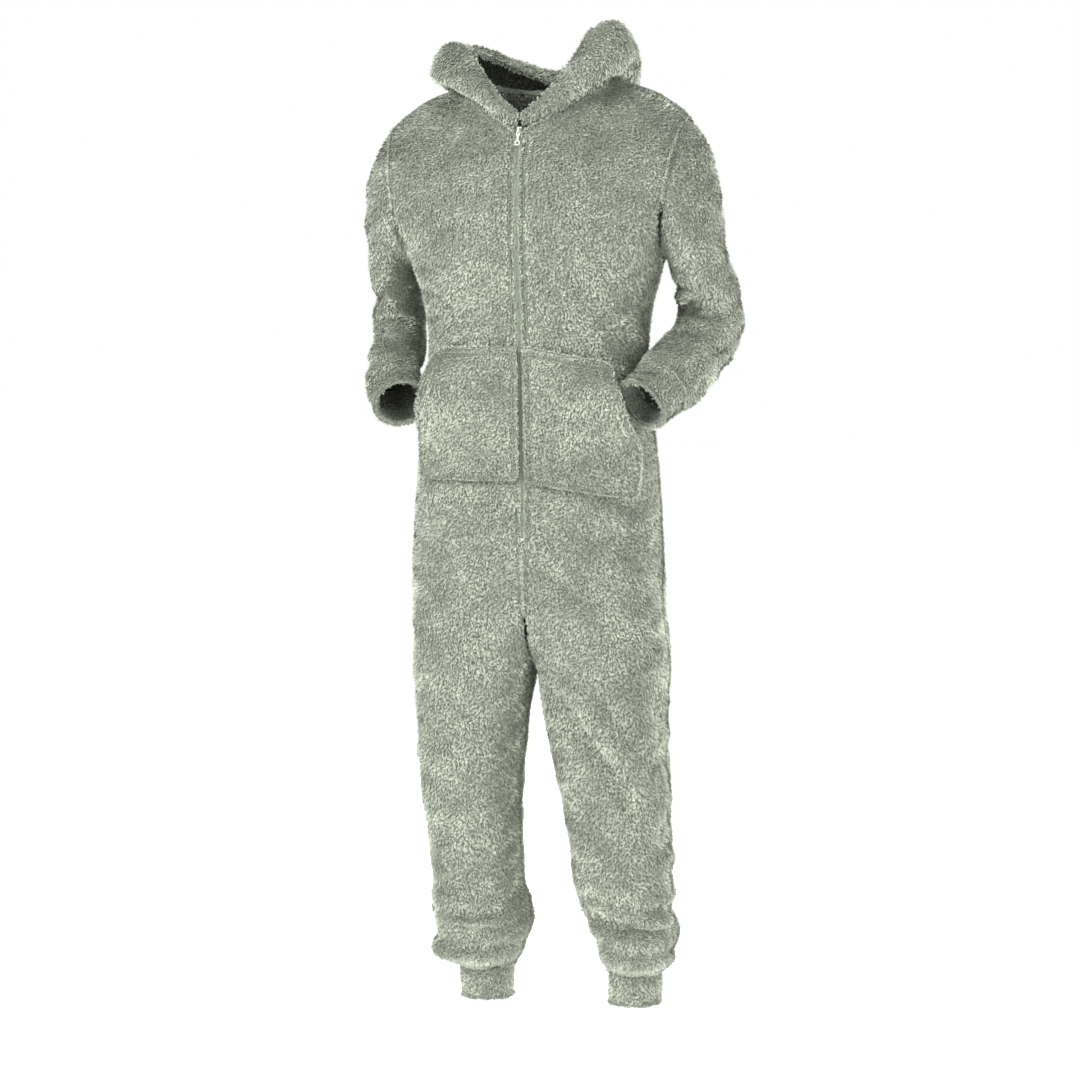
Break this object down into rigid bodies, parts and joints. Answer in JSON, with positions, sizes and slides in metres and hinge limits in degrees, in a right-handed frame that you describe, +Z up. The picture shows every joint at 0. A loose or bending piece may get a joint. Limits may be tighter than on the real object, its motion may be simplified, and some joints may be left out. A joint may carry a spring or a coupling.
{
  "type": "hooded onesie pajama",
  "caption": "Hooded one-piece pajama in deep-pile fleece, hollow and in a worn pose, with a full front zip, split kangaroo pocket, and cuffed sleeves and legs.",
  "frame": {"origin": "base of the neck, between the shoulders, where the wearer holds the garment up", "axes": "+Z up, the garment's front towards -Y, +X towards the wearer's left"},
  "size_m": [0.6179, 0.3411, 1.5644],
  "materials": {
    "fleece": "sage green deep-pile fleece, matt with a soft pale nap",
    "zip_tape": "woven tape with a fine coil, slight sheen",
    "zip_metal": "pale satin enamel over die-cast metal"
  },
  "bodies": {
    "garment": {"body_front_left": "fleece", "body_front_right": "fleece", "body_back_left": "fleece", "body_back_right": "fleece", "sleeve_left": "fleece", "sleeve_right": "fleece", "sleeve_cuff_left": "fleece", "sleeve_cuff_right": "fleece", "leg_cuff_left": "fleece", "leg_cuff_right": "fleece", "hood_left": "fleece", "hood_right": "fleece", "pocket_left": "fleece", "pocket_right": "fleece", "zip_tape_left": "zip_tape", "zip_tape_right": "zip_tape", "zip_slider": "zip_metal", "zip_stop": "zip_metal"},
    "pull_tab": {"zip_pull_tab": "zip_metal"}
  },
  "joints": [
    {"name": "pull_tab_swing", "type": "hinge", "parent": "garment", "child": "pull_tab", "pos_m": [-0.00901, -0.10299, -0.06383], "axis": [-0.9962, 0.0872, 0], "range_deg": [0, 130]}
  ]
}
